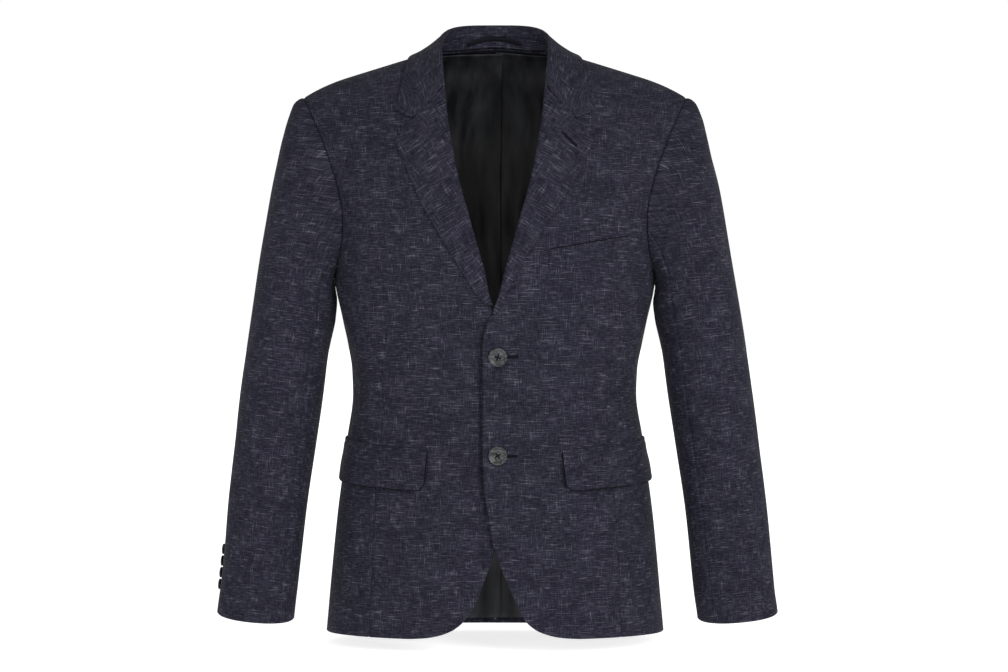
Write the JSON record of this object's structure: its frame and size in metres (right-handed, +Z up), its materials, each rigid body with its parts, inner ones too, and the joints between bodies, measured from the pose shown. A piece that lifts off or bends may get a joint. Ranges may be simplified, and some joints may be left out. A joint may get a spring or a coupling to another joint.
{
  "type": "suit jacket",
  "caption": "Men's single-breasted suit jacket with notch lapels, flap pockets, a breast pocket and buttoned cuffs, filled out as if worn.",
  "frame": {"origin": "midway between the two shoulder seams' neck ends, where the wearer's shoulders hold the jacket", "axes": "+Z up; the front with the buttons faces -Y; +X is the wearer's left"},
  "size_m": [0.6659, 0.251, 0.734],
  "materials": {
    "suit_cloth": "matt slubbed wool and silk weave",
    "lining_satin": "smooth satin",
    "button_horn": "half-gloss, darker than the cloth"
  },
  "bodies": {
    "root": {"front_left": "suit_cloth", "front_right": "suit_cloth", "side_left": "suit_cloth", "side_right": "suit_cloth", "back_left": "suit_cloth", "back_right": "suit_cloth", "top_sleeve_left": "suit_cloth", "top_sleeve_right": "suit_cloth", "under_sleeve_left": "suit_cloth", "under_sleeve_right": "suit_cloth", "lapel_left": "suit_cloth", "lapel_right": "suit_cloth", "pocket_flap_left": "suit_cloth", "pocket_flap_right": "suit_cloth", "pocket_jet_left": "suit_cloth", "pocket_jet_right": "suit_cloth", "breast_welt": "suit_cloth", "collar_fall": "suit_cloth", "collar_stand": "suit_cloth", "back_lining_left": "lining_satin", "back_lining_right": "lining_satin", "hanger_loop": "lining_satin", "front_button_upper": "button_horn", "front_button_lower": "button_horn", "cuff_button_left_1": "button_horn", "cuff_button_left_2": "button_horn", "cuff_button_left_3": "button_horn", "cuff_button_left_4": "button_horn", "cuff_button_right_1": "button_horn", "cuff_button_right_2": "button_horn", "cuff_button_right_3": "button_horn", "cuff_button_right_4": "button_horn"}
  },
  "joints": []
}
